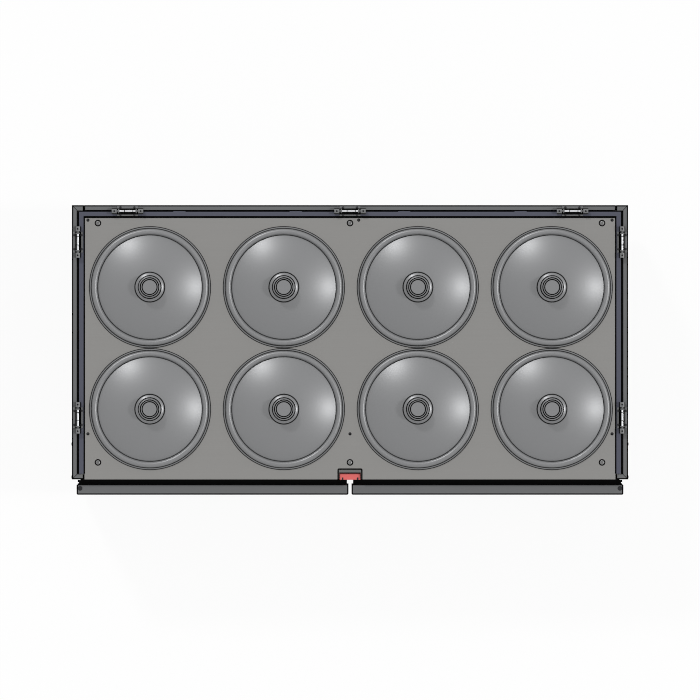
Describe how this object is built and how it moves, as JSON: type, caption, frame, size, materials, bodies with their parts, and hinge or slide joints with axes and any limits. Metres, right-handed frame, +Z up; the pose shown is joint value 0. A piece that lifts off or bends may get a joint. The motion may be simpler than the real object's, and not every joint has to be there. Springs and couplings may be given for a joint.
{
  "type": "serving cabinet with lidded wells",
  "caption": "Low sheet-steel serving cabinet: domed lids with round knobs over wells in the deck, hinged hanging flaps, front doors with black seals and a red touch catch.",
  "frame": {"origin": "on the floor, below the middle of the overall plan", "axes": "+X to the right along the length, +Y to the back, +Z up; the doors face -Y"},
  "size_m": [1.0132, 0.526, 0.3146],
  "materials": {
    "cabinet_steel": "satin sheet steel",
    "deck_steel": "satin sheet steel, faint grain along X",
    "rail_blue_grey": "blue-grey powder coat",
    "well_steel": "drawn stainless steel",
    "screw_steel": "plated steel",
    "catch_grey": "moulded plastic",
    "foot_rubber": "black rubber-soled pad",
    "hinge_steel": "bright plated steel",
    "flap_dark_grey": "dark grey satin paint",
    "liner_grey": "grey painted inner pan",
    "gasket_black": "matt black rubber",
    "catch_red": "red moulded plastic",
    "lid_steel": "spun steel, satin",
    "knob_steel": "turned steel, satin"
  },
  "bodies": {
    "cabinet": {"base_pan": "cabinet_steel", "left_wall": "cabinet_steel", "right_wall": "cabinet_steel", "rear_wall": "cabinet_steel", "front_frame": "cabinet_steel", "deck_plate": "deck_steel", "left_hinge_rail": "rail_blue_grey", "right_hinge_rail": "rail_blue_grey", "rear_hinge_rail": "rail_blue_grey", "well_1": "well_steel", "well_2": "well_steel", "well_3": "well_steel", "well_4": "well_steel", "well_5": "well_steel", "well_6": "well_steel", "well_7": "well_steel", "well_8": "well_steel", "deck_screws": "screw_steel", "deck_rivets": "screw_steel", "catch_housing": "catch_grey", "levelling_feet": "foot_rubber", "fixed_hinge_leaves": "hinge_steel", "hinge_pins": "hinge_steel", "fixed_leaf_screws": "screw_steel", "door_pivots": "hinge_steel"},
    "left_flap": {"left_flap_panel": "flap_dark_grey", "left_flap_leaves": "hinge_steel", "left_flap_screws": "screw_steel"},
    "right_flap": {"right_flap_panel": "flap_dark_grey", "right_flap_leaves": "hinge_steel", "right_flap_screws": "screw_steel"},
    "rear_flap": {"rear_flap_panel": "flap_dark_grey", "rear_flap_leaves": "hinge_steel", "rear_flap_screws": "screw_steel"},
    "left_door": {"left_door_skin": "flap_dark_grey", "left_door_liner": "liner_grey", "left_door_gasket": "gasket_black", "left_strike_plate": "hinge_steel"},
    "right_door": {"right_door_skin": "flap_dark_grey", "right_door_liner": "liner_grey", "right_door_gasket": "gasket_black", "right_strike_plate": "hinge_steel"},
    "catch": {"touch_catch": "catch_red", "pole_plates": "hinge_steel"},
    "lid_body_1": {"lid_1": "lid_steel", "knob_1": "knob_steel"},
    "lid_body_2": {"lid_2": "lid_steel", "knob_2": "knob_steel"},
    "lid_body_3": {"lid_3": "lid_steel", "knob_3": "knob_steel"},
    "lid_body_4": {"lid_4": "lid_steel", "knob_4": "knob_steel"},
    "lid_body_5": {"lid_5": "lid_steel", "knob_5": "knob_steel"},
    "lid_body_6": {"lid_6": "lid_steel", "knob_6": "knob_steel"},
    "lid_body_7": {"lid_7": "lid_steel", "knob_7": "knob_steel"},
    "lid_body_8": {"lid_8": "lid_steel", "knob_8": "knob_steel"}
  },
  "joints": [
    {"name": "left_flap_hinge", "type": "hinge", "parent": "cabinet", "child": "left_flap", "pos_m": [-0.4942, 0.0364, 0.276], "axis": [0, 1, 0], "range_deg": [0, 90]},
    {"name": "right_flap_hinge", "type": "hinge", "parent": "cabinet", "child": "right_flap", "pos_m": [0.4942, 0.0364, 0.276], "axis": [0, -1, 0], "range_deg": [0, 90]},
    {"name": "rear_flap_hinge", "type": "hinge", "parent": "cabinet", "child": "rear_flap", "pos_m": [0, 0.2522, 0.276], "axis": [1, 0, 0], "range_deg": [0, 90]},
    {"name": "left_door_pivot", "type": "hinge", "parent": "cabinet", "child": "left_door", "pos_m": [-0.4905, -0.2513, 0.14], "axis": [0, 0, 1], "range_deg": [-110, 0]},
    {"name": "right_door_pivot", "type": "hinge", "parent": "cabinet", "child": "right_door", "pos_m": [0.4905, -0.2513, 0.14], "axis": [0, 0, 1], "range_deg": [0, 110]},
    {"name": "catch_press", "type": "slide", "parent": "cabinet", "child": "catch", "axis": [0, 1, 0], "range_m": [0, 0.004], "stiffness_N_per_m": 300, "springref_m": -0.004},
    {"name": "lid_1_lift", "type": "slide", "parent": "cabinet", "child": "lid_body_1", "axis": [0, 0, 1], "range_m": [0, 0.2]},
    {"name": "lid_2_lift", "type": "slide", "parent": "cabinet", "child": "lid_body_2", "axis": [0, 0, 1], "range_m": [0, 0.2]},
    {"name": "lid_3_lift", "type": "slide", "parent": "cabinet", "child": "lid_body_3", "axis": [0, 0, 1], "range_m": [0, 0.2]},
    {"name": "lid_4_lift", "type": "slide", "parent": "cabinet", "child": "lid_body_4", "axis": [0, 0, 1], "range_m": [0, 0.2]},
    {"name": "lid_5_lift", "type": "slide", "parent": "cabinet", "child": "lid_body_5", "axis": [0, 0, 1], "range_m": [0, 0.2]},
    {"name": "lid_6_lift", "type": "slide", "parent": "cabinet", "child": "lid_body_6", "axis": [0, 0, 1], "range_m": [0, 0.2]},
    {"name": "lid_7_lift", "type": "slide", "parent": "cabinet", "child": "lid_body_7", "axis": [0, 0, 1], "range_m": [0, 0.2]},
    {"name": "lid_8_lift", "type": "slide", "parent": "cabinet", "child": "lid_body_8", "axis": [0, 0, 1], "range_m": [0, 0.2]}
  ]
}
